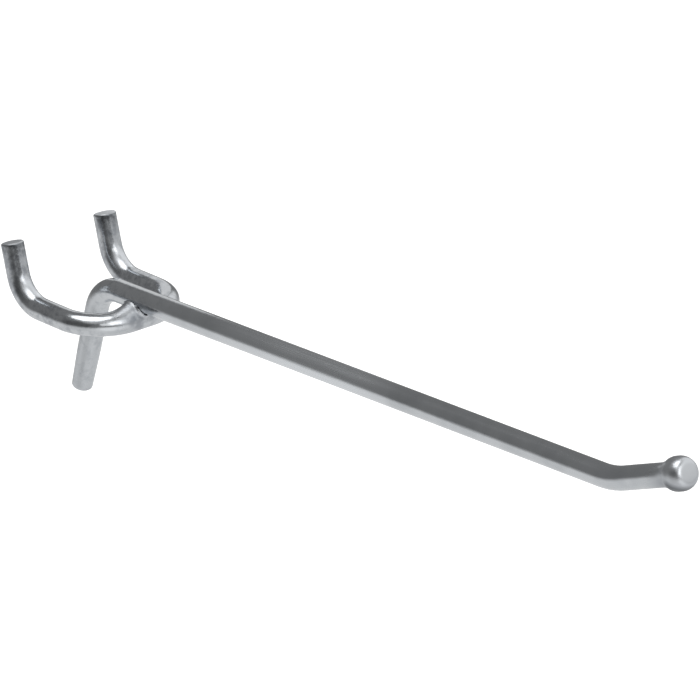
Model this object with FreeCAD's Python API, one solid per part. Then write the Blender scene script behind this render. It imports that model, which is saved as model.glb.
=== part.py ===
import FreeCAD, Part
import math
import os

# Pegboard hook of two round wires welded together, in millimetres.
# The board's front face is the plane y = 0, with the board behind it.
# The arm comes out of the board towards -Y and +Z is up.
# The origin lies midway between the two holes that take the prongs.

V = FreeCAD.Vector

# Arm wire
ARM_WIRE_D = 5.0
ARM_LENGTH = 145.4
ARM_RISE = 17.0
TIP_BEND_R = 20.0
TIP_TURN = 19.0
TIP_LENGTH = 12.5

# Head on the tip
HEAD_D = 7.1
HEAD_BAND = 0.7
HEAD_FLAT_D = 4.9
HEAD_EDGE_R = 1.0
NECK_R = 2.5

# Brace that rests on the board
BRACE_BEND_R = 7.7
BRACE_LENGTH = 20.5
BRACE_TAPER_LENGTH = 10.0
BRACE_END_D = 4.5
BRACE_CHAMFER = 0.6

# Yoke wire with the two prongs
YOKE_WIRE_D = 4.9
PRONG_SPACING = 25.4
YOKE_CORNER_R = 9.95
YOKE_LEG_LENGTH = 7.55
YOKE_TILT = 1.6
PRONG_BEND_R = 7.45
PRONG_TURN = 74.8
PRONG_LENGTH = 7.3
PRONG_CHAMFER = 0.25

# Weld between the two wires
YOKE_SETBACK = 7.0
WELD_SET = 1.05
WELD_BEAD = 0.7


def straight(start, direction, length, radius):
    """Return a round rod from start along direction."""
    return Part.makeCylinder(radius, length, start, direction)


def bend(start, direction, towards, bend_r, turn, radius):
    """Return a bent rod, with the point and the direction at its far end."""
    axis = direction.cross(towards)
    centre = start + towards * bend_r
    ring = Part.Wire([Part.makeCircle(radius, start, direction)])
    rod = Part.Face(ring).revolve(centre, axis, turn)
    a = math.radians(turn)
    end = centre + direction * (bend_r * math.sin(a)) - towards * (bend_r * math.cos(a))
    heading = direction * math.cos(a) + towards * math.sin(a)
    return rod, end, heading


def level(direction):
    """Return the upward normal to a direction that has no part along X."""
    n = V(1, 0, 0).cross(direction)
    return n if n.z > 0 else n * -1


def turned(start, direction, edges):
    """Revolve a closed profile of edges, drawn as x along and y out, about a line."""
    face = Part.Face(Part.Wire(edges))
    solid = face.revolve(V(0, 0, 0), V(1, 0, 0), 360)
    place = FreeCAD.Placement(start, FreeCAD.Rotation(V(1, 0, 0), direction))
    solid.Placement = place
    return solid


def end_edges(solid, point):
    """Return the circular edges of a solid that lie about a point."""
    found = []
    for edge in solid.Edges:
        if edge.Closed and (edge.CenterOfMass - point).Length < 1e-4:
            found.append(edge)
    return found


def head(start, direction):
    """Return the upset head, from the end of the tip to its flat front."""
    wire_r = ARM_WIRE_D / 2
    ball_r = HEAD_D / 2
    run = math.sqrt((ball_r + NECK_R) ** 2 - (wire_r + NECK_R) ** 2)
    ball = V(run, 0, 0)
    neck = V(0, wire_r + NECK_R, 0)
    neck_end = ball + (neck - ball) * (ball_r / (ball_r + NECK_R))
    half = (neck_end - neck) + (V(0, wire_r, 0) - neck)
    neck_mid = neck + half * (NECK_R / half.Length)
    crown = V(run + HEAD_BAND, 0, 0)
    flat_x = crown.x + math.sqrt(ball_r ** 2 - (HEAD_FLAT_D / 2) ** 2)
    edge_x = flat_x - HEAD_EDGE_R
    edge_y = math.sqrt((ball_r - HEAD_EDGE_R) ** 2 - (edge_x - crown.x) ** 2)
    edge = V(edge_x, edge_y, 0)
    crown_end = crown + (edge - crown) * (ball_r / (ball_r - HEAD_EDGE_R))
    half = (crown_end - edge) + V(HEAD_EDGE_R, 0, 0)
    edge_mid = edge + half * (HEAD_EDGE_R / half.Length)
    top = V(0, ball_r, 0)
    half = (neck_end - ball) + top
    ball_mid = ball + half * (ball_r / half.Length)
    half = (crown_end - crown) + top
    crown_mid = crown + half * (ball_r / half.Length)
    edges = [
        Part.LineSegment(V(0, 0, 0), V(0, wire_r, 0)).toShape(),
        Part.Arc(V(0, wire_r, 0), neck_mid, neck_end).toShape(),
        Part.Arc(neck_end, ball_mid, ball + top).toShape(),
        Part.LineSegment(ball + top, crown + top).toShape(),
        Part.Arc(crown + top, crown_mid, crown_end).toShape(),
        Part.Arc(crown_end, edge_mid, V(flat_x, edge_y, 0)).toShape(),
        Part.LineSegment(V(flat_x, edge_y, 0), V(flat_x, 0, 0)).toShape(),
        Part.LineSegment(V(flat_x, 0, 0), V(0, 0, 0)).toShape(),
    ]
    return turned(start, direction, edges)


def arm_path():
    """Return the places along the arm that both wires are set out from."""
    rise = math.radians(ARM_RISE)
    out = V(0, -math.cos(rise), math.sin(rise))
    wire_r = ARM_WIRE_D / 2
    back = V(0, -wire_r, 0)
    turn = 90 - ARM_RISE
    a = math.radians(turn)
    bend_end = back + V(0, BRACE_BEND_R * (math.cos(a) - 1), BRACE_BEND_R * math.sin(a))
    drop = wire_r + YOKE_WIRE_D / 2 - WELD_SET
    crossbar = bend_end + out * YOKE_SETBACK - level(out) * drop
    fall = math.radians(ARM_RISE - YOKE_TILT)
    lift = -crossbar.y * math.tan(fall) - crossbar.z
    up = V(0, 0, lift)
    return out, back + up, crossbar + up


def make_arm():
    """Build the arm wire from the end of the brace to the head."""
    out, brace_top, crossbar = arm_path()
    wire_r = ARM_WIRE_D / 2
    up = V(0, 0, 1)
    taper = min(BRACE_TAPER_LENGTH, BRACE_LENGTH * 0.9)
    taper_top = brace_top - up * (BRACE_LENGTH - taper)
    foot = brace_top - up * BRACE_LENGTH
    cone = Part.makeCone(wire_r, BRACE_END_D / 2, taper, taper_top, up * -1)
    cone = cone.makeChamfer(BRACE_CHAMFER, end_edges(cone, foot))
    rods = [cone, straight(taper_top, up, BRACE_LENGTH - taper, wire_r)]
    rod, at, heading = bend(brace_top, up, V(0, -1, 0), BRACE_BEND_R, 90 - ARM_RISE, wire_r)
    rods.append(rod)
    rods.append(straight(at, heading, ARM_LENGTH, wire_r))
    at = at + heading * ARM_LENGTH
    rod, at, heading = bend(at, heading, level(heading), TIP_BEND_R, TIP_TURN, wire_r)
    rods.append(rod)
    rods.append(straight(at, heading, TIP_LENGTH, wire_r))
    rods.append(head(at + heading * TIP_LENGTH, heading))
    return rods[0].multiFuse(rods[1:]).removeSplitter().Solids[0]


def make_yoke():
    """Build the U of wire with its two prongs, before it is welded to the arm."""
    out, brace_top, crossbar = arm_path()
    wire_r = YOKE_WIRE_D / 2
    fall = math.radians(ARM_RISE - YOKE_TILT)
    back = V(0, math.cos(fall), -math.sin(fall))
    half = PRONG_SPACING / 2 - YOKE_CORNER_R
    rods = [straight(crossbar - V(half, 0, 0), V(1, 0, 0), 2 * half, wire_r)]
    for side in (-1, 1):
        across = V(side, 0, 0)
        at = crossbar + across * half
        rod, at, heading = bend(at, across, back, YOKE_CORNER_R, 90, wire_r)
        rods.append(rod)
        rods.append(straight(at, heading, YOKE_LEG_LENGTH, wire_r))
        at = at + heading * YOKE_LEG_LENGTH
        rod, at, heading = bend(at, heading, level(heading), PRONG_BEND_R, PRONG_TURN, wire_r)
        rods.append(rod)
        prong = straight(at, heading, PRONG_LENGTH, wire_r)
        tip = at + heading * PRONG_LENGTH
        rods.append(prong.makeChamfer(PRONG_CHAMFER, end_edges(prong, tip)))
    return rods[0].multiFuse(rods[1:]).removeSplitter().Solids[0]


def weld(arm, yoke):
    """Return the yoke with the seat pressed by the arm and the weld's bead round it."""
    joined = yoke.fuse(arm)
    out, brace_top, crossbar = arm_path()
    reach = ARM_WIRE_D + YOKE_WIRE_D
    seam = []
    for edge in joined.Edges:
        near = (edge.CenterOfMass - crossbar).Length < reach
        if near and edge.Curve.TypeId == "Part::GeomBSplineCurve":
            seam.append(edge)
    return joined.makeChamfer(WELD_BEAD, seam).cut(arm).removeSplitter().Solids[0]


os.makedirs("parts", exist_ok=True)
arm = make_arm()
yoke = weld(arm, make_yoke())
arm.exportStep("parts/arm.step")
yoke.exportStep("parts/prong_yoke.step")
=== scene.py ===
import math

import bmesh
import bpy
import numpy as np
from bpy.props import FloatProperty, FloatVectorProperty, IntProperty, PointerProperty
from mathutils import Matrix, Vector


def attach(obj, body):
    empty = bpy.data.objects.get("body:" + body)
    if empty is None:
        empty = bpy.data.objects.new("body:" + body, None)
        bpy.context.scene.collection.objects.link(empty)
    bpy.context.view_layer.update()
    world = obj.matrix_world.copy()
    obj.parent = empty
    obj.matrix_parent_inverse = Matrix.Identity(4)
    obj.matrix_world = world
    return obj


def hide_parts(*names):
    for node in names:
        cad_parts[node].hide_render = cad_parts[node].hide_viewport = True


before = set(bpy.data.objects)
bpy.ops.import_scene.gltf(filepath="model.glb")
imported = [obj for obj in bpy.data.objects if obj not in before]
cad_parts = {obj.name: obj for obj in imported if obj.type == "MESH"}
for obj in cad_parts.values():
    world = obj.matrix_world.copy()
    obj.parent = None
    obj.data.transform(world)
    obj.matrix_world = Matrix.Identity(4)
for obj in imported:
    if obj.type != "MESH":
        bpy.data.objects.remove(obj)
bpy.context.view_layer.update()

bl_info = {
    "name": "Pegboard hook",
    "version": (1, 0, 0),
    "blender": (4, 5, 0),
    "location": "View3D > Sidebar > Hook",
    "description": "Builds a welded wire pegboard hook and a plain studio round it",
    "category": "Object",
}

MM = 0.001


def length(name, words, default):
    """A length in millimetres that a user may change."""
    return FloatProperty(name=name, description=words, default=default, min=0.0)


def angle(name, words, default):
    """An angle in degrees that a user may change."""
    return FloatProperty(name=name, description=words, default=default)


def tint(name, words, default):
    """A colour that a user may change."""
    return FloatVectorProperty(
        name=name, description=words, subtype="COLOR", size=3, min=0.0, max=1.0, default=default)


# Sizes and colours

class HookArmSizes(bpy.types.PropertyGroup):
    """Sizes of the wire that makes the arm, the brace and the headed tip."""

    wire: length("Wire", "Diameter of the arm's wire in mm", 5.0)
    arm: length("Arm", "Straight length of the arm in mm", 145.4)
    rise: angle("Rise", "How far the arm points up from level, in degrees", 17.0)
    tip_bend: length("Tip bend", "Radius of the bend at the tip in mm", 20.0)
    tip_turn: angle("Tip turn", "How far the tip turns up from the arm, in degrees", 19.0)
    tip: length("Tip", "Straight length of the tip in mm", 11.26)
    head: length("Head", "Diameter of the ball on the tip in mm", 7.1)
    head_band: length("Head band", "Straight band round the ball's middle in mm", 0.7)
    head_flat: length("Head flat", "Diameter of the flat on the ball's front in mm", 4.9)
    head_edge: length("Head edge", "Radius of the flat's edge in mm", 1.5)
    neck: length("Neck", "Radius of the hollow behind the ball in mm", 7.2)
    brace_bend: length("Brace bend", "Radius of the bend to the brace in mm", 7.7)
    brace: length("Brace", "Straight length of the brace in mm", 20.5)
    brace_taper: length("Brace taper", "Length of the drawn-down end in mm", 10.0)
    brace_end: length("Brace end", "Diameter at the brace's end in mm", 4.5)
    brace_edge: length("Brace edge", "Radius of the brace's end edge in mm", 0.8)


class HookYokeSizes(bpy.types.PropertyGroup):
    """Sizes of the wire that makes the yoke and its prongs, and of the weld."""

    wire: length("Wire", "Diameter of the yoke's wire in mm", 4.9)
    spacing: length("Spacing", "Distance between the prongs in mm", 25.4)
    corner: length("Corner", "Radius of the yoke's corners in mm", 9.95)
    leg: length("Leg", "Straight length of each leg in mm", 7.55)
    tilt: angle("Tilt", "How far the yoke leans to the arm, in degrees", 1.6)
    prong_bend: length("Prong bend", "Radius of the bend to a prong in mm", 7.45)
    prong_turn: angle("Prong turn", "How far a prong turns up, in degrees", 74.8)
    prong: length("Prong", "Straight length of a prong in mm", 7.3)
    prong_edge: length("Prong edge", "Radius of a prong's end edge in mm", 0.35)
    bend_fill: length("Bend fill", "How far a prong bend's inside is pressed full in mm", 0.3)
    setback: length("Setback", "Crossbar's distance from the arm's back bend in mm", 7.0)
    weld_set: length("Weld set", "How deep the arm is pressed into the crossbar in mm", 1.05)
    weld_fillet: length("Weld fillet", "Radius of the metal round the weld in mm", 0.9)
    weld_ridge: length("Weld ridge", "Height of the metal squeezed out beside the weld in mm", 0.14)
    weld_heap: length("Weld heap", "Height of the metal heaped up on one side of the weld in mm", 1.5)


class HookFinish(bpy.types.PropertyGroup):
    """Fineness of the meshes and colours of the plating."""

    sides: IntProperty(name="Sides", description="Faces round each wire", default=72, min=12)
    step: length("Step", "Distance between rings along the wire in mm", 0.4)
    zinc: tint("Zinc", "Colour of the bright zinc plating", (0.645, 0.668, 0.693))
    dull: tint("Dull zinc", "Colour of the duller patches in the plating", (0.565, 0.588, 0.612))
    # This colour is also the painted shade under the ball and neck, and a deeper painted shade is
    # made from it
    stain_and_shade: tint("Stain", "Colour of the stains in the plating", (0.33, 0.35, 0.38))
    gloss: FloatProperty(
        name="Roughness", description="Roughness of the plating", subtype="FACTOR",
        default=0.18, min=0.0, max=1.0)


class HookStageLook(bpy.types.PropertyGroup):
    """Floor, lights and camera."""

    floor_drop: length("Floor drop", "Height of the origin over the floor in mm", 90.0)
    floor: tint("Floor", "Colour of the floor", (0.8, 0.8, 0.8))
    azimuth: angle("Azimuth", "Direction of the camera, in degrees", -47.9187)
    elevation: angle("Elevation", "Height of the camera, in degrees", 33.0926)
    roll: angle("Roll", "Turn of the camera about its view, in degrees", 12.1983)
    distance: length("Distance", "From the camera to its target in mm", 1616.84)
    target: FloatVectorProperty(
        name="Target", description="Point that the camera looks at in mm", subtype="XYZ",
        size=3, default=(7.9431, -67.7898, 26.1328))
    lens: length("Lens", "Focal length for a 36 mm wide sensor in mm", 407.443)


# Paths of the two wires

# How far each end face bulges, in millimetres
HEAD_CROWN = 0.04
BRACE_CROWN = 0.06
PRONG_CROWN = 0.05


class WirePath:
    """Centre points and radii along a bent wire, in millimetres."""

    def __init__(self, start, heading, step):
        self.at = Vector(start)
        self.heading = Vector(heading).normalized()
        self.step = step
        self.points = []
        self.radii = []

    def put(self, radius):
        """Add a point of a given radius here."""
        self.points.append(self.at.copy())
        self.radii.append(radius)

    def straight(self, run, r0, r1=None):
        """Go straight on, from radius r0 to radius r1."""
        r1 = r0 if r1 is None else r1
        count = max(1, round(run / self.step))
        start = self.at.copy()
        for i in range(1, count + 1):
            t = i / count
            self.at = start + self.heading * (run * t)
            self.put(r0 + (r1 - r0) * t)

    def bend(self, towards, bend_r, turn, radius):
        """Turn towards a side, along an arc."""
        towards = Vector(towards).normalized()
        ahead = self.heading.copy()
        centre = self.at + towards * bend_r
        whole = math.radians(turn)
        count = max(4, round(bend_r * whole / self.step))
        for i in range(1, count + 1):
            a = whole * i / count
            self.at = centre + ahead * (bend_r * math.sin(a)) - towards * (bend_r * math.cos(a))
            self.put(radius)
        self.heading = ahead * math.cos(whole) + towards * math.sin(whole)

    def profile(self, pairs):
        """Follow a turned profile of (distance ahead, radius) from here."""
        start = self.at.copy()
        for run, radius in pairs:
            self.at = start + self.heading * run
            self.put(radius)


def upward(heading):
    """Upward normal to a heading that has no part along X."""
    n = Vector((1, 0, 0)).cross(heading)
    return n if n.z > 0 else -n


def arc(ahead, out, radius, start, stop, steps):
    """Arc about a centre as (distance ahead, radius) pairs, without its first point."""
    pairs = []
    for i in range(1, steps + 1):
        a = start + (stop - start) * i / steps
        pairs.append((ahead + radius * math.cos(a), out + radius * math.sin(a)))
    return pairs


def cut_end(radius, edge, crown):
    """Profile of a cut end with a rounded edge and a slightly crowned face."""
    flat = radius - edge
    pairs = [(0.0, radius)] + arc(0.0, flat, edge, math.pi / 2, 0.0, 8)
    for share in (0.8, 0.6, 0.4, 0.2, 0.02):
        pairs.append((edge + crown * (1 - share), flat * share))
    return pairs


def head_profile(sizes):
    """Profile of the upset head: neck, ball, rounded edge and flat front."""
    wire_r = sizes.wire / 2
    ball_r = sizes.head / 2
    neck_r = sizes.neck
    edge_r = sizes.head_edge
    quarter = math.pi / 2
    ball_x = math.sqrt((ball_r + neck_r) ** 2 - (wire_r + neck_r) ** 2)
    neck_a = math.atan2(ball_x, wire_r + neck_r)
    crown_x = ball_x + sizes.head_band
    flat_x = math.sqrt(ball_r ** 2 - (sizes.head_flat / 2) ** 2)
    edge_x = flat_x - edge_r - HEAD_CROWN
    edge_y = math.sqrt((ball_r - edge_r) ** 2 - edge_x ** 2)
    front_a = math.atan2(edge_y, edge_x)
    pairs = arc(0.0, wire_r + neck_r, neck_r, -quarter, neck_a - quarter, 12)
    pairs += arc(ball_x, 0.0, ball_r, quarter + neck_a, quarter, 20)
    pairs.append((crown_x, ball_r))
    pairs += arc(crown_x, 0.0, ball_r, quarter, front_a, 24)
    pairs += arc(crown_x + edge_x, edge_y, edge_r, front_a, 0.0, 8)
    for share in (0.85, 0.7, 0.5, 0.3, 0.02):
        pairs.append((crown_x + flat_x - HEAD_CROWN * share, edge_y * share))
    return pairs


def set_out(arm, yoke):
    """Top of the brace and middle of the crossbar, which both wires are set out from."""
    rise = math.radians(arm.rise)
    out = Vector((0, -math.cos(rise), math.sin(rise)))
    wire_r = arm.wire / 2
    back = Vector((0, -wire_r, 0))
    a = math.radians(90 - arm.rise)
    bend_end = back + Vector((0, arm.brace_bend * (math.cos(a) - 1), arm.brace_bend * math.sin(a)))
    drop = wire_r + yoke.wire / 2 - yoke.weld_set
    crossbar = bend_end + out * yoke.setback - upward(out) * drop
    fall = math.radians(arm.rise - yoke.tilt)
    lift = Vector((0, 0, -crossbar.y * math.tan(fall) - crossbar.z))
    return back + lift, crossbar + lift


def arm_path(arm, yoke, step):
    """Path of the arm's wire from the brace's end to the head."""
    brace_top = set_out(arm, yoke)[0]
    r = arm.wire / 2
    foot = brace_top - Vector((0, 0, arm.brace))
    path = WirePath(foot, (0, 0, 1), step)
    deep = arm.brace_edge + BRACE_CROWN
    for run, radius in reversed(cut_end(arm.brace_end / 2, arm.brace_edge, BRACE_CROWN)):
        path.at = foot + Vector((0, 0, deep - run))
        path.put(radius)
    path.straight(arm.brace_taper - deep, arm.brace_end / 2, r)
    path.straight(arm.brace - arm.brace_taper, r)
    path.bend((0, -1, 0), arm.brace_bend, 90 - arm.rise, r)
    path.straight(arm.arm, r)
    path.bend(upward(path.heading), arm.tip_bend, arm.tip_turn, r)
    path.straight(arm.tip, r)
    path.profile(head_profile(arm))
    return path


def yoke_path(arm, yoke, step):
    """Path of the yoke's wire from the left prong's end to the right one's."""
    crossbar = set_out(arm, yoke)[1]
    r = yoke.wire / 2
    fall = math.radians(arm.rise - yoke.tilt)
    back = Vector((0, math.cos(fall), -math.sin(fall)))
    half = WirePath(crossbar, (1, 0, 0), step)
    half.put(r)
    half.straight(yoke.spacing / 2 - yoke.corner, r)
    half.bend(back, yoke.corner, 90, r)
    half.straight(yoke.leg, r)
    half.bend(upward(half.heading), yoke.prong_bend, yoke.prong_turn, r)
    half.straight(yoke.prong - yoke.prong_edge - PRONG_CROWN, r)
    half.profile(cut_end(r, yoke.prong_edge, PRONG_CROWN)[1:])
    mirrored = [Vector((-p.x, p.y, p.z)) for p in half.points[:0:-1]]
    whole = WirePath(crossbar, (1, 0, 0), step)
    whole.points = mirrored + half.points
    whole.radii = half.radii[:0:-1] + half.radii
    return whole


# Sweep of a round wire along a path

def wire_sweep_tree():
    """Node tree that sweeps a circle along a path, at the radius stored on its points."""
    tree = bpy.data.node_groups.new("Wire sweep", "GeometryNodeTree")
    face = tree.interface
    face.new_socket("Path", in_out="INPUT", socket_type="NodeSocketGeometry")
    sides = face.new_socket("Sides", in_out="INPUT", socket_type="NodeSocketInt")
    finish = face.new_socket("Finish", in_out="INPUT", socket_type="NodeSocketMaterial")
    face.new_socket("Wire", in_out="OUTPUT", socket_type="NodeSocketGeometry")
    nodes = tree.nodes
    link = tree.links.new
    given = nodes.new("NodeGroupInput")
    made = nodes.new("NodeGroupOutput")
    curve = nodes.new("GeometryNodeMeshToCurve")
    along = nodes.new("GeometryNodeSplineParameter")
    keep_along = nodes.new("GeometryNodeCaptureAttribute")
    keep_along.capture_items.new("FLOAT", "Along")
    circle = nodes.new("GeometryNodeCurvePrimitiveCircle")
    circle.inputs["Radius"].default_value = 1.0
    around = nodes.new("GeometryNodeInputPosition")
    keep_around = nodes.new("GeometryNodeCaptureAttribute")
    keep_around.capture_items.new("VECTOR", "Around")
    radius = nodes.new("GeometryNodeInputNamedAttribute")
    radius.data_type = "FLOAT"
    radius.inputs["Name"].default_value = "wire_radius"
    sweep = nodes.new("GeometryNodeCurveToMesh")
    sweep.inputs["Fill Caps"].default_value = True
    split = nodes.new("ShaderNodeSeparateXYZ")
    join = nodes.new("ShaderNodeCombineXYZ")
    store = nodes.new("GeometryNodeStoreNamedAttribute")
    store.data_type = "FLOAT_VECTOR"
    store.domain = "POINT"
    store.inputs["Name"].default_value = "wire_place"
    smooth = nodes.new("GeometryNodeSetShadeSmooth")
    solid = nodes.new("GeometryNodeRealizeInstances")
    paint = nodes.new("GeometryNodeSetMaterial")
    link(given.outputs["Path"], curve.inputs["Mesh"])
    link(curve.outputs["Curve"], keep_along.inputs["Geometry"])
    link(along.outputs["Length"], keep_along.inputs["Along"])
    link(given.outputs["Sides"], circle.inputs["Resolution"])
    link(circle.outputs["Curve"], keep_around.inputs["Geometry"])
    link(around.outputs["Position"], keep_around.inputs["Around"])
    link(keep_along.outputs["Geometry"], sweep.inputs["Curve"])
    link(keep_around.outputs["Geometry"], sweep.inputs["Profile Curve"])
    link(radius.outputs["Attribute"], sweep.inputs["Scale"])
    link(keep_around.outputs["Around"], split.inputs["Vector"])
    link(keep_along.outputs["Along"], join.inputs["X"])
    link(split.outputs["X"], join.inputs["Y"])
    link(split.outputs["Y"], join.inputs["Z"])
    link(sweep.outputs["Mesh"], store.inputs["Geometry"])
    link(join.outputs["Vector"], store.inputs["Value"])
    link(store.outputs["Geometry"], smooth.inputs["Geometry"])
    link(smooth.outputs["Geometry"], solid.inputs["Geometry"])
    link(solid.outputs["Geometry"], paint.inputs["Geometry"])
    link(given.outputs["Finish"], paint.inputs["Material"])
    link(paint.outputs["Geometry"], made.inputs["Wire"])
    return tree, sides.identifier, finish.identifier


def sweep_wire(name, path, sides, material):
    """Return a mesh object of a round wire swept along a path."""
    count = len(path.points)
    line = bpy.data.meshes.new(name + "_path")
    points = [tuple(p * MM) for p in path.points]
    line.from_pydata(points, [(i, i + 1) for i in range(count - 1)], [])
    held = line.attributes.new("wire_radius", "FLOAT", "POINT")
    held.data.foreach_set("value", [r * MM for r in path.radii])
    maker = bpy.data.objects.new(name + "_path", line)
    bpy.context.scene.collection.objects.link(maker)
    tree, sides_id, finish_id = wire_sweep_tree()
    modifier = maker.modifiers.new("Wire sweep", "NODES")
    modifier.node_group = tree
    modifier[sides_id] = sides
    modifier[finish_id] = material
    graph = bpy.context.evaluated_depsgraph_get()
    mesh = bpy.data.meshes.new_from_object(maker.evaluated_get(graph))
    mesh.name = name
    maker.modifiers.remove(modifier)
    bpy.data.objects.remove(maker)
    bpy.data.meshes.remove(line)
    bpy.data.node_groups.remove(tree)
    if not mesh.polygons:
        raise RuntimeError("The sweep of " + name + " made no faces")
    shell = bmesh.new()
    shell.from_mesh(mesh)
    bmesh.ops.recalc_face_normals(shell, faces=shell.faces)
    shell.to_mesh(mesh)
    shell.free()
    piece = bpy.data.objects.new(name, mesh)
    bpy.context.scene.collection.objects.link(piece)
    return piece


def read_points(mesh):
    """Vertices of a mesh as an array in millimetres."""
    flat = np.empty(len(mesh.vertices) * 3)
    mesh.vertices.foreach_get("co", flat)
    return flat.reshape(-1, 3) / MM


def write_points(mesh, points):
    """Put an array of millimetres back as a mesh's vertices."""
    mesh.vertices.foreach_set("co", (points * MM).ravel())
    mesh.update()


# Inside of the prong bends

# Room about the wire as a share of its radius, and degrees that the filling runs past the bend
FILL_MARGIN = 1.2
FILL_RUN_OUT = 12


def fill_bends(piece, arm, yoke):
    """Press the inside of the two prong bends fuller, as a bent wire's inside is upset."""
    crossbar = set_out(arm, yoke)[1]
    fall = math.radians(arm.rise - yoke.tilt)
    back = np.array((0.0, math.cos(fall), -math.sin(fall)))
    up = np.array((0.0, math.sin(fall), math.cos(fall)))
    centre = np.array(crossbar) + back * (yoke.corner + yoke.leg) + up * yoke.prong_bend
    wire_r = yoke.wire / 2
    margin = wire_r * FILL_MARGIN
    points = read_points(piece.data)
    v = points - centre
    v[:, 0] = 0
    gap = np.maximum(np.linalg.norm(v, axis=1), 1e-6)
    inside = np.clip((yoke.prong_bend - gap) / wire_r, 0, FILL_MARGIN)
    turn = np.degrees(np.arctan2(v @ back, -(v @ up)))
    middle = yoke.prong_turn / 2
    spread = np.clip(1 - ((turn - middle) / (middle + FILL_RUN_OUT)) ** 2, 0, 1) ** 2
    on_wire = np.abs(np.abs(points[:, 0]) - yoke.spacing / 2) < margin
    on_wire &= gap < yoke.prong_bend + margin
    lift = np.where(on_wire, yoke.bend_fill * spread * inside ** 2, 0)
    points -= v / gap[:, None] * lift[:, None]
    write_points(piece.data, points)


# Weld, with lengths in millimetres

# Stretch of each wire that counts, and half the step that slopes are taken over
LINE_REACH = 13.0
PROBE = 0.02

# Fillet between the wires, and the rounds that bring the vertices on to it
FILLET_REACH = 8.5
FILLET_DEPTH = 0.35
FILLET_LUMPS = 0.18
FILLET_RAMP = 2.0
FILLET_ROUNDS = 5
FILLET_STEP = 0.9
LEAST_SLOPE = 0.2

# Ridge beside the arm, and the heap of metal on the left
RIDGE_GAP = 1.3
RIDGE_WIDTH = 0.35
RIDGE_LUMPS = 0.25
HEAP_REACH = 9.5
HEAP_SIDE = (0.0, 0.64, 0.77)
HEAP_RAMP = 1.5
HEAP_WIDTH = 3.4


def line_gap(points, line, radius=0.0):
    """Distance from each point to the surface of a wire along a line of points."""
    start = line[:-1]
    run = line[1:] - start
    size = np.maximum((run ** 2).sum(1), 1e-12)
    best = np.full(len(points), 1e9)
    for a, d, s in zip(start, run, size):
        t = np.clip(((points - a) @ d) / s, 0, 1)
        gap = np.linalg.norm(points - a - t[:, None] * d, axis=1)
        best = np.minimum(best, gap)
    return best - radius


def slope_of(field, points):
    """Slope of a field of distances at each point."""
    slope = np.empty_like(points)
    for k in range(3):
        shift = np.zeros(3)
        shift[k] = PROBE
        slope[:, k] = (field(points + shift) - field(points - shift)) / (2 * PROBE)
    return slope


class Weld:
    """The two wires where they cross, and the metal round their contact."""

    def __init__(self, arm, yoke, arm_wire, yoke_wire):
        self.centre = np.array(set_out(arm, yoke)[1])
        self.arm_line = self.near_part(arm_wire)
        self.yoke_line = self.near_part(yoke_wire)
        self.arm_r = arm.wire / 2
        self.yoke_r = yoke.wire / 2
        self.sizes = yoke

    def near_part(self, path):
        """Points of a path that lie near the weld."""
        line = np.array([tuple(p) for p in path.points])
        return line[np.linalg.norm(line - self.centre, axis=1) < LINE_REACH]

    def field(self, points, heaped):
        """Distance to the two wires joined by a hollow fillet, below zero inside."""
        a = line_gap(points, self.arm_line, self.arm_r)
        b = line_gap(points, self.yoke_line, self.yoke_r)
        lump = 1 + FILLET_LUMPS * np.sin(points[:, 0] * 2.3 + 0.6) * np.cos(points[:, 1] * 1.9)
        heap = 1 + heaped * np.clip(-points[:, 0] / FILLET_RAMP, 0, 1)
        f = self.sizes.weld_fillet * lump * heap
        wedge = np.sqrt(np.maximum(f - a, 0) ** 2 + np.maximum(f - b, 0) ** 2)
        return np.maximum(f, np.minimum(a, b)) - wedge

    def raise_fillet(self, piece, other_line, other_r, heaped):
        """Lift a wire's vertices on to the fillet that joins it to the other wire."""
        points = read_points(piece.data)
        reach = np.linalg.norm(points - self.centre, axis=1) < FILLET_REACH
        moved = points[reach]
        live = line_gap(moved, other_line, other_r) > -FILLET_DEPTH
        live &= self.field(moved, heaped) < -1e-4
        work = moved[live]
        for _ in range(FILLET_ROUNDS):
            value = self.field(work, heaped)
            slope = slope_of(lambda p: self.field(p, heaped), work)
            size = np.maximum((slope ** 2).sum(1), LEAST_SLOPE)
            work = work - slope * (value / size)[:, None] * FILLET_STEP
        moved[live] = work
        points[reach] = moved
        write_points(piece.data, points)

    def raise_heap(self, piece):
        """Raise an uneven ridge on the crossbar beside the arm, and a heap on its left."""
        points = read_points(piece.data)
        reach = np.linalg.norm(points - self.centre, axis=1) < HEAP_REACH
        near = points[reach]
        out = slope_of(lambda p: line_gap(p, self.yoke_line), near)
        out /= np.maximum(np.linalg.norm(out, axis=1), 1e-9)[:, None]
        gap = line_gap(near, self.arm_line, self.arm_r)
        uneven = np.sin(near[:, 0] * 3.7 + near[:, 2] * 5.1) * np.cos(near[:, 1] * 4.3)
        ridge = np.exp(-((gap - RIDGE_GAP) / RIDGE_WIDTH) ** 2)
        lift = self.sizes.weld_ridge * (1 - RIDGE_LUMPS + RIDGE_LUMPS * uneven) * ridge
        facing = np.clip(out @ np.array(HEAP_SIDE), 0, 1) ** 2
        left = np.clip(-near[:, 0] / HEAP_RAMP, 0, 1)
        lift += self.sizes.weld_heap * facing * left * np.exp(-(gap / HEAP_WIDTH) ** 2)
        points[reach] = near + out * lift[:, None]
        write_points(piece.data, points)


# Nodes

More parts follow.
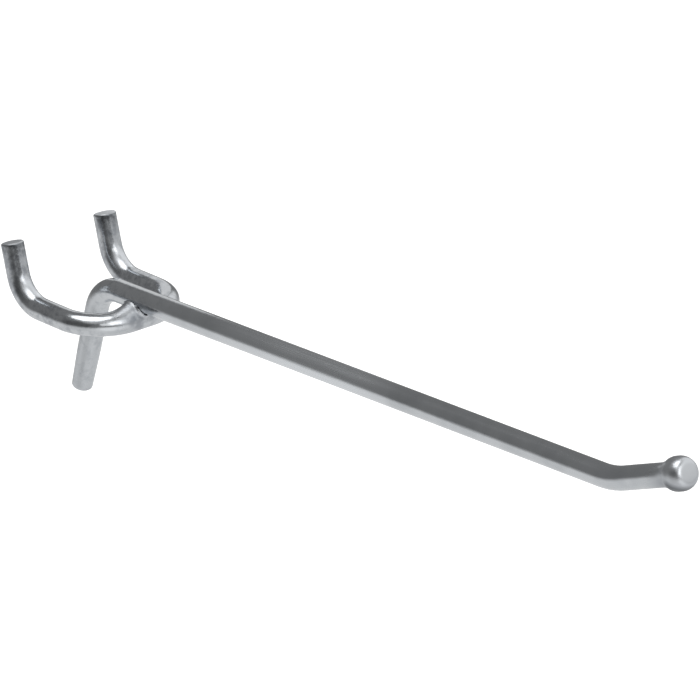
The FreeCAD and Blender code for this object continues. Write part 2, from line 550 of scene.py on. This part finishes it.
class NodeKit:
    """Helper that adds a shader tree's nodes one by one."""

    def __init__(self, tree):
        self.nodes = tree.nodes
        self.link = tree.links.new

    def feed(self, socket, value):
        """Set an input to a value, or link a socket to it."""
        if isinstance(value, bpy.types.NodeSocket):
            self.link(value, socket)
        else:
            socket.default_value = value

    def maths(self, operation, *values):
        """Result of a sum with numbers or sockets."""
        node = self.nodes.new("ShaderNodeMath")
        node.operation = operation
        for socket, value in zip(node.inputs, values):
            self.feed(socket, value)
        return node.outputs[0]

    def times(self, a, b):
        """Product of two sockets, or of a socket and a number."""
        return self.maths("MULTIPLY", a, b)

    def vector(self, operation, where, other):
        """Number that comes of a vector socket and a fixed vector."""
        node = self.nodes.new("ShaderNodeVectorMath")
        node.operation = operation
        self.link(where, node.inputs[0])
        node.inputs[1].default_value = other
        return node.outputs["Value"]

    def span(self, value, start, stop, low=0.0, high=1.0):
        """Map a socket from one span to another."""
        node = self.nodes.new("ShaderNodeMapRange")
        node.inputs["From Min"].default_value = start
        node.inputs["From Max"].default_value = stop
        node.inputs["To Min"].default_value = low
        node.inputs["To Max"].default_value = high
        self.link(value, node.inputs["Value"])
        return node.outputs["Result"]

    def ease(self, value, start, stop):
        """Smooth step from 0 at start to 1 at stop."""
        result = self.span(value, start, stop)
        result.node.interpolation_type = "SMOOTHSTEP"
        return result

    def mix(self, kind, share, a, b):
        """Mix of two colours or two levels, each fixed or a socket."""
        node = self.nodes.new("ShaderNodeMix")
        node.data_type = kind
        self.link(share, node.inputs["Factor"])
        self.feed(node.inputs["A"], a)
        self.feed(node.inputs["B"], b)
        return node.outputs["Result"]

    def noise(self, where, scale, detail, shift):
        """Noise on a vector, as a socket from about 0 to 1."""
        place = self.nodes.new("ShaderNodeMapping")
        place.inputs["Scale"].default_value = scale
        place.inputs["Location"].default_value = (shift, shift, shift)
        self.link(where, place.inputs["Vector"])
        node = self.nodes.new("ShaderNodeTexNoise")
        node.inputs["Scale"].default_value = 1.0
        node.inputs["Detail"].default_value = detail
        node.inputs["Roughness"].default_value = 0.6
        self.link(place.outputs["Vector"], node.inputs["Vector"])
        return node.outputs["Fac"]

    def bump(self, height, strength, distance, under=None):
        """Bump of a height socket, on top of another bump."""
        node = self.nodes.new("ShaderNodeBump")
        node.inputs["Strength"].default_value = strength
        node.inputs["Distance"].default_value = distance
        self.link(height, node.inputs["Height"])
        if under is not None:
            self.link(under, node.inputs["Normal"])
        return node.outputs["Normal"]

    def any_ray(self, kinds):
        """Socket that is 1 for any of the named kinds of ray."""
        path = self.nodes.new("ShaderNodeLightPath")
        total = path.outputs[kinds[0]]
        for kind in kinds[1:]:
            total = self.maths("MAXIMUM", total, path.outputs[kind])
        return total


# Finish, with places in metres

# Each ramp has its axis, where it starts and where it is full
ZONE_RAMPS = {
    "worked": ("Y", -0.034, -0.010),
    "brace": ("Z", 0.001, -0.006),
    "prongs": ("Y", 0.002, 0.008),
    "head": ("Y", -0.1615, -0.1645),
    # The next ramp and the two ramps on the ball's front place the painted shade under the head
    "head_low": ("Z", 0.0622, 0.0582),
    "upset": ("Y", -0.1592, -0.1615),
    # The next two ramps place a painted sheen over the arm's middle, where the roughness is also
    # raised
    "haze_and_sheen_start": ("Y", -0.036, -0.060),
    "haze_and_sheen_end": ("Y", -0.092, -0.080),
    "legs_start": ("Y", -0.010, -0.006),
    "legs_end": ("Y", 0.006, 0.002),
    "ball_front": ("Y", -0.1650, -0.1662),
    "ball_low": ("Z", 0.0607, 0.0594),
}
PRONG_LINE = (0.0, 0.509, 0.861)
PRONG_RIM = (0.0112, 0.0136)
PRONG_CUT = (0.0144, 0.0147)
WELD_SPOT = (-0.0015, -0.0158, 0.0065)
WELD_BURN = (0.0070, 0.0035)
# Spots inside the prong bends where painted highlights and extra roughness go
BEND_SPOTS = ((-0.0127, 0.0049, 0.0026), (0.0127, 0.0049, 0.0026))
BEND_SPOT_REACH = (0.0031, 0.0017)
# The paler zinc is used for the painted sheen and painted highlights; the darker colour for the
# painted shade under the ball and the prong rims' stains
PALER = 1.18
DARKER = 0.5


def zinc_zones(kit, spot):
    """Sockets that rise to 1 in each place where the finish differs or where painted shade, painted
    sheen or painted highlights go, by name.
    """
    split = kit.nodes.new("ShaderNodeSeparateXYZ")
    kit.link(spot, split.inputs["Vector"])
    zones = {}
    for name, (axis, start, stop) in ZONE_RAMPS.items():
        zones[name] = kit.span(split.outputs[axis], start, stop)
    zones["haze_and_sheen"] = kit.times(zones["haze_and_sheen_start"], zones["haze_and_sheen_end"])
    zones["legs"] = kit.times(zones["legs_start"], zones["legs_end"])
    # Painted shade at the bottom of the ball's front
    zones["ball_rim"] = kit.times(zones["ball_front"], zones["ball_low"])
    zones["head_shade"] = kit.times(zones["head"], zones["head_low"])
    tall = kit.vector("DOT_PRODUCT", spot, PRONG_LINE)
    zones["rim"] = kit.times(kit.span(tall, *PRONG_RIM), zones["prongs"])
    zones["cut"] = kit.span(tall, *PRONG_CUT)
    zones["burnt"] = kit.span(kit.vector("DISTANCE", spot, WELD_SPOT), *WELD_BURN)
    for name, place in zip(("left_bend", "right_bend"), BEND_SPOTS):
        zones[name] = kit.span(kit.vector("DISTANCE", spot, place), *BEND_SPOT_REACH)
    return zones


def zinc_material(name, finish, seed, marks_and_sheen):
    """Bright zinc plating with drawn lines, duller patches, marks of bending and welding, painted
    shade under the ball, a painted sheen on the arm's middle and painted highlights in the prong
    bends.
    """
    mat = bpy.data.materials.new(name)
    mat.use_nodes = True
    kit = NodeKit(mat.node_tree)
    shader = kit.nodes["Principled BSDF"]
    shader.inputs["Metallic"].default_value = 1.0
    spot = kit.nodes.new("ShaderNodeTexCoord").outputs["Object"]
    wire = kit.nodes.new("ShaderNodeAttribute")
    wire.attribute_name = "wire_place"
    along = wire.outputs["Vector"]
    zones = zinc_zones(kit, spot)

    drawn = kit.noise(along, (60.0, 9.0, 9.0), 4.0, seed)
    mottle = kit.noise(spot, (420.0, 420.0, 420.0), 3.0, seed)
    patches = kit.noise(spot, (120.0, 120.0, 120.0), 2.0, seed)
    stains = kit.noise(spot, (480.0, 480.0, 480.0), 3.0, seed + 3.0)
    gripped = kit.noise(along, (700.0, 1.6, 1.6), 3.0, seed + 5.0)

    clear = (*finish.zinc, 1.0)
    dull = (*finish.dull, 1.0)
    # The stain colour serves for real stains and for the painted shade under the ball
    stain_and_shade = (*finish.stain_and_shade, 1.0)
    pale = (*[PALER * c for c in finish.zinc], 1.0)
    dark = (*[DARKER * c for c in finish.stain_and_shade], 1.0)
    # Share of painted highlight in the prong bends, which grows with the amount of marking
    bend_sheen_share = 0.9 * marks_and_sheen
    layers = (
        # Painted sheen: paler zinc over the arm's middle stands in for a broad wash of light on it
        (kit.span(zones["haze_and_sheen"], 0.0, 1.0, 0.0, 0.9), pale),
        (kit.times(zones["brace"], kit.span(mottle, 0.3, 0.6, 0.5, 1.0)), dull),
        (kit.times(zones["prongs"], kit.span(stains, 0.35, 0.65, 0.1, 0.7)), stain_and_shade),
        (kit.times(zones["worked"], kit.span(stains, 0.50, 0.72, 0.0, 0.40 + 0.4 * marks_and_sheen)), stain_and_shade),
        (kit.times(zones["burnt"], kit.span(stains, 0.35, 0.60, 0.0, marks_and_sheen)), stain_and_shade),
        (kit.times(zones["legs"], kit.span(gripped, 0.46, 0.66, 0.0, marks_and_sheen)), stain_and_shade),
        # Painted shade: the stain colour darkens the underside of the head and neck, standing in for
        # the shadow under the ball
        (zones["head_shade"], stain_and_shade),
        # Painted shade: a still darker colour at the bottom of the ball's front, for the deepest
        # shadow under it
        (zones["ball_rim"], dark),
        (kit.times(zones["rim"], kit.span(stains, 0.35, 0.58, 0.15, 0.9)), dark),
        (kit.times(zones["cut"], kit.span(mottle, 0.3, 0.7, 1.0, 0.6)), clear),
        # Painted highlights: paler zinc inside the two prong bends stands in for the light reflected
        # there
        (kit.span(zones["left_bend"], 0.0, 1.0, 0.0, bend_sheen_share), pale),
        (kit.span(zones["right_bend"], 0.0, 1.0, 0.0, bend_sheen_share), pale),
    )
    colour = kit.mix("RGBA", kit.span(patches, 0.42, 0.70), clear, dull)
    for share, above in layers:
        colour = kit.mix("RGBA", share, colour, above)
    kit.link(colour, shader.inputs["Base Color"])

    rough = kit.span(drawn, 0.3, 0.7, finish.gloss * 0.8, finish.gloss * 1.3)
    rougher = (("upset", 0.16), ("haze_and_sheen", 0.08), ("cut", 0.35), ("burnt", 0.3 * marks_and_sheen),
               ("left_bend", 0.24 * marks_and_sheen), ("right_bend", 0.24 * marks_and_sheen))
    for zone, amount in rougher:
        rough = kit.maths("MULTIPLY_ADD", zones[zone], amount, rough)
    kit.link(rough, shader.inputs["Roughness"])

    lines = kit.bump(drawn, 0.10, 0.00012)
    dents = kit.bump(mottle, 0.12, 0.0003, lines)
    marks = kit.bump(kit.times(zones["worked"], stains), 0.14, 0.00025, dents)
    kit.link(marks, shader.inputs["Normal"])
    return mat


# Stage, with lengths in metres

FLOOR_HALF = 6.0
FLOOR_GLOW = 0.62
LAMP_TARGET = (0.0, -0.07, 0.02)
LEG_TARGET = (0.0127, 0.004, 0.003)
ARM_LEAN = 17.0


def floor_material(look):
    """Pale floor that the camera sees as white, with the shadow kept."""
    mat = bpy.data.materials.new("pale_floor")
    mat.use_nodes = True
    kit = NodeKit(mat.node_tree)
    kit.nodes.clear()
    end = kit.nodes.new("ShaderNodeOutputMaterial")
    body = kit.nodes.new("ShaderNodeBsdfDiffuse")
    body.inputs["Color"].default_value = (*look.floor, 1.0)
    glow = kit.nodes.new("ShaderNodeEmission")
    seen = kit.any_ray(("Is Camera Ray", "Is Glossy Ray", "Is Transmission Ray"))
    kit.link(kit.times(seen, FLOOR_GLOW), glow.inputs["Strength"])
    both = kit.nodes.new("ShaderNodeAddShader")
    kit.link(body.outputs[0], both.inputs[0])
    kit.link(glow.outputs[0], both.inputs[1])
    kit.link(both.outputs[0], end.inputs["Surface"])
    return mat


def from_arm(across, tall):
    """Direction so many degrees right of the arm's outward line and so many over it."""
    a = math.radians(across)
    e = math.radians(tall)
    x = math.sin(a) * math.cos(e)
    y = -math.cos(a) * math.cos(e)
    z = math.sin(e)
    lean = math.radians(ARM_LEAN)
    return (x, y * math.cos(lean) + z * math.sin(lean), z * math.cos(lean) - y * math.sin(lean))


def studio_world():
    """White sweep low down, a pale wall to the right, a dark room to the left, and a bright panel."""
    world = bpy.data.worlds.new("studio")
    bpy.context.scene.world = world
    world.use_nodes = True
    kit = NodeKit(world.node_tree)
    kit.nodes.clear()
    way = kit.nodes.new("ShaderNodeTexCoord").outputs["Generated"]

    def lobe(across, tall, start, stop):
        """Smooth patch of the world about a direction from the arm."""
        towards = Vector(from_arm(across, tall)).normalized()
        return kit.ease(kit.vector("DOT_PRODUCT", way, towards), start, stop)

    def mix(share, a, b):
        """Mix of two levels."""
        return kit.mix("FLOAT", share, a, b)

    # Dark room to the left, darkest level with the arm, with a hazy patch high up in front
    room = mix(lobe(-88, 4, 0.72, 0.97), 0.25, 0.12)
    room = mix(lobe(-55, 50, 0.92, 0.975), room, 0.7)
    # Wall to the right, dimmer low down, that stops short overhead and has a dark notch
    wall = mix(lobe(0, 90, 0.08, 0.22), 0.77, 1.15)
    lit = kit.times(lobe(55, 30, 0.43, 0.58), lobe(0, 90, 0.95, 0.90))
    side = mix(kit.times(lit, lobe(4, 64, 0.985, 0.965)), room, wall)
    # Dark patch low in front, and a bright panel higher up beside it
    side = mix(lobe(-16, 4, 0.94, 0.98), side, 0.18)
    side = mix(lobe(-29, 22, 0.970, 0.988), side, 1.3)
    # White sweep below, dimmer to the left and brighter in front
    sweep = mix(lobe(-90, -25, 0.85, 0.97), 0.98, 0.85)
    tone = mix(lobe(0, 90, -0.04, -0.40), side, sweep)
    front = kit.times(lobe(-15, -15, 0.77, 0.95), lobe(0, 90, -0.02, -0.18))
    tone = mix(front, tone, 1.35)

    back = kit.nodes.new("ShaderNodeBackground")
    kit.link(mix(kit.any_ray(("Is Camera Ray",)), tone, 1.0), back.inputs["Strength"])
    end = kit.nodes.new("ShaderNodeOutputWorld")
    kit.link(back.outputs[0], end.inputs["Surface"])


def softbox(name, toward, distance, size, watts, at=LAMP_TARGET, rounded=False):
    """Flat lamp that shines at a point of the object from a direction."""
    lamp = bpy.data.lights.new(name, "AREA")
    lamp.shape = "ELLIPSE" if rounded else "RECTANGLE"
    lamp.size = size[0]
    lamp.size_y = size[1]
    lamp.energy = watts
    holder = bpy.data.objects.new(name, lamp)
    bpy.context.scene.collection.objects.link(holder)
    aim = Vector(toward).normalized()
    holder.location = Vector(at) + aim * distance
    holder.rotation_euler = aim.to_track_quat("Z", "Y").to_euler()


def make_camera(look):
    """Camera at the photograph's angle."""
    data = bpy.data.cameras.new("camera")
    data.lens = look.lens
    data.sensor_width = 36.0
    data.sensor_fit = "HORIZONTAL"
    data.clip_end = 50.0
    holder = bpy.data.objects.new("camera", data)
    bpy.context.scene.collection.objects.link(holder)
    az = math.radians(look.azimuth)
    el = math.radians(look.elevation)
    roll = math.radians(look.roll)
    toward = Vector((math.sin(az) * math.cos(el), -math.cos(az) * math.cos(el), math.sin(el)))
    right = Vector((math.cos(az), math.sin(az), 0.0))
    up = toward.cross(right)
    x = right * math.cos(roll) + up * math.sin(roll)
    y = up * math.cos(roll) - right * math.sin(roll)
    turn = Matrix((x, y, toward)).transposed()
    place = (Vector(look.target) + toward * look.distance) * MM
    holder.matrix_world = Matrix.Translation(place) @ turn.to_4x4()
    bpy.context.scene.camera = holder


# Operators

# The yoke has finer rings, marks of gripping, painted highlights in its prong bends, noise of its own
# and a fuller fillet on its left
YOKE_STEP = 0.75
YOKE_MARKS_AND_SHEEN = 0.7
YOKE_SEED = 7.0
YOKE_HEAPED = 0.5


class HOOK_OT_arm(bpy.types.Operator):
    """Build the arm's wire with its brace and headed tip"""

    bl_idname = "hook.arm"
    bl_label = "Arm"

    def execute(self, context):
        scene = context.scene
        arm, yoke, finish = scene.hook_arm, scene.hook_yoke, scene.hook_finish
        path = arm_path(arm, yoke, finish.step)
        zinc = zinc_material("arm_zinc", finish, 0.0, 0.0)
        piece = sweep_wire("arm_wire", path, finish.sides, zinc)
        weld = Weld(arm, yoke, path, yoke_path(arm, yoke, finish.step))
        weld.raise_fillet(piece, weld.yoke_line, weld.yoke_r, 0.0)
        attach(piece, "root")
        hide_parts("arm")
        return {"FINISHED"}


class HOOK_OT_yoke(bpy.types.Operator):
    """Build the yoke's wire with its two prongs"""

    bl_idname = "hook.yoke"
    bl_label = "Yoke"

    def execute(self, context):
        scene = context.scene
        arm, yoke, finish = scene.hook_arm, scene.hook_yoke, scene.hook_finish
        path = yoke_path(arm, yoke, finish.step * YOKE_STEP)
        zinc = zinc_material("yoke_zinc", finish, YOKE_SEED, YOKE_MARKS_AND_SHEEN)
        piece = sweep_wire("yoke_wire", path, finish.sides, zinc)
        weld = Weld(arm, yoke, arm_path(arm, yoke, finish.step), path)
        weld.raise_fillet(piece, weld.arm_line, weld.arm_r, YOKE_HEAPED)
        weld.raise_heap(piece)
        fill_bends(piece, arm, yoke)
        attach(piece, "root")
        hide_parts("prong_yoke")
        return {"FINISHED"}


class HOOK_OT_stage(bpy.types.Operator):
    """Set up the floor, the lights and the camera"""

    bl_idname = "hook.stage"
    bl_label = "Stage"

    def execute(self, context):
        look = context.scene.hook_stage
        ground = bpy.data.meshes.new("floor")
        z = -look.floor_drop * MM
        sides = ((-1, -1), (1, -1), (1, 1), (-1, 1))
        corners = [(x * FLOOR_HALF, y * FLOOR_HALF, z) for x, y in sides]
        ground.from_pydata(corners, [], [(0, 1, 2, 3)])
        floor = bpy.data.objects.new("floor", ground)
        context.scene.collection.objects.link(floor)
        ground.materials.append(floor_material(look))
        floor.visible_glossy = False
        studio_world()
        softbox("top_softbox", from_arm(-105, 76), 1.2, (1.02, 1.02), 5.6, rounded=True)
        softbox("front_softbox", from_arm(-9, 27), 1.2, (0.56, 0.72), 1.6)
        softbox("yoke_card", from_arm(140, 26), 0.05, (0.045, 0.045), 0.003, LEG_TARGET, rounded=True)
        make_camera(look)
        context.scene.view_settings.view_transform = "Standard"
        return {"FINISHED"}


class HOOK_PT_panel(bpy.types.Panel):
    """Sidebar panel that lists the hook's pieces and sizes"""

    bl_idname = "HOOK_PT_panel"
    bl_label = "Pegboard hook"
    bl_space_type = "VIEW_3D"
    bl_region_type = "UI"
    bl_category = "Hook"

    def draw(self, context):
        scene = context.scene
        for name, group in (("hook.arm", scene.hook_arm), ("hook.yoke", scene.hook_yoke),
                            ("hook.stage", scene.hook_stage)):
            box = self.layout.box()
            box.operator(name)
            for key in group.__annotations__:
                box.prop(group, key)
        for key in scene.hook_finish.__annotations__:
            self.layout.prop(scene.hook_finish, key)


GROUPS = (("hook_arm", HookArmSizes), ("hook_yoke", HookYokeSizes),
          ("hook_finish", HookFinish), ("hook_stage", HookStageLook))
CLASSES = (HookArmSizes, HookYokeSizes, HookFinish, HookStageLook,
           HOOK_OT_arm, HOOK_OT_yoke, HOOK_OT_stage, HOOK_PT_panel)


def register():
    """Add the classes and the scene's groups of sizes."""
    for item in CLASSES:
        bpy.utils.register_class(item)
    for name, group in GROUPS:
        setattr(bpy.types.Scene, name, PointerProperty(type=group))


def unregister():
    """Take the scene's groups of sizes and the classes out again."""
    for name, _ in GROUPS:
        delattr(bpy.types.Scene, name)
    for item in reversed(CLASSES):
        bpy.utils.unregister_class(item)


def main():
    """Build the hook and its stage."""
    register()
    bpy.ops.hook.arm()
    bpy.ops.hook.yoke()
    bpy.ops.hook.stage()


if __name__ == "__main__":
    main()
